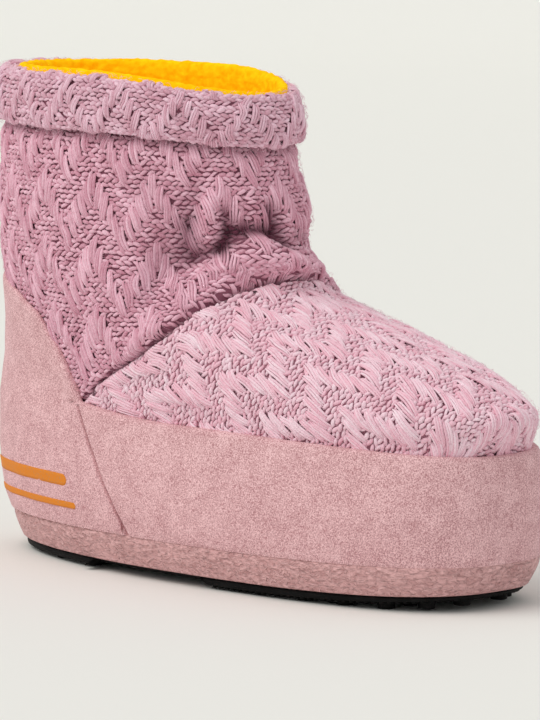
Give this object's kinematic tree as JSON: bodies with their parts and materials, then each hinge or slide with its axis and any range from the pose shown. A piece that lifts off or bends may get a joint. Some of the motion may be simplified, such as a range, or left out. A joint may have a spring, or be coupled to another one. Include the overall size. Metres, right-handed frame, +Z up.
{
  "type": "snow boot",
  "caption": "Low padded snow boot: hollow knit upper with rolled cuff, suede-like rand and heel counter, foam band and studded rubber outsole.",
  "frame": {"origin": "middle of the boot's box, on the floor that the outsole stands on", "axes": "+X from heel to toe, +Y to the far side as seen in the picture, +Z up"},
  "size_m": [0.2907, 0.12, 0.2127],
  "materials": {
    "rubber": "black moulded rubber, satin, fine ribbed tread",
    "band_foam": "dusty pink foam with a pebbled moulded skin",
    "knit": "chunky pink wool-blend knit with raised slanting stitches",
    "suede": "pale pink brushed suede-like microfibre",
    "fleece": "orange-yellow fleece pile"
  },
  "bodies": {
    "root": {"outsole": "rubber", "midsole": "band_foam", "insole": "fleece", "upper": "knit", "cuff": "knit", "rand": "suede", "heel_counter": "suede"}
  },
  "joints": []
}
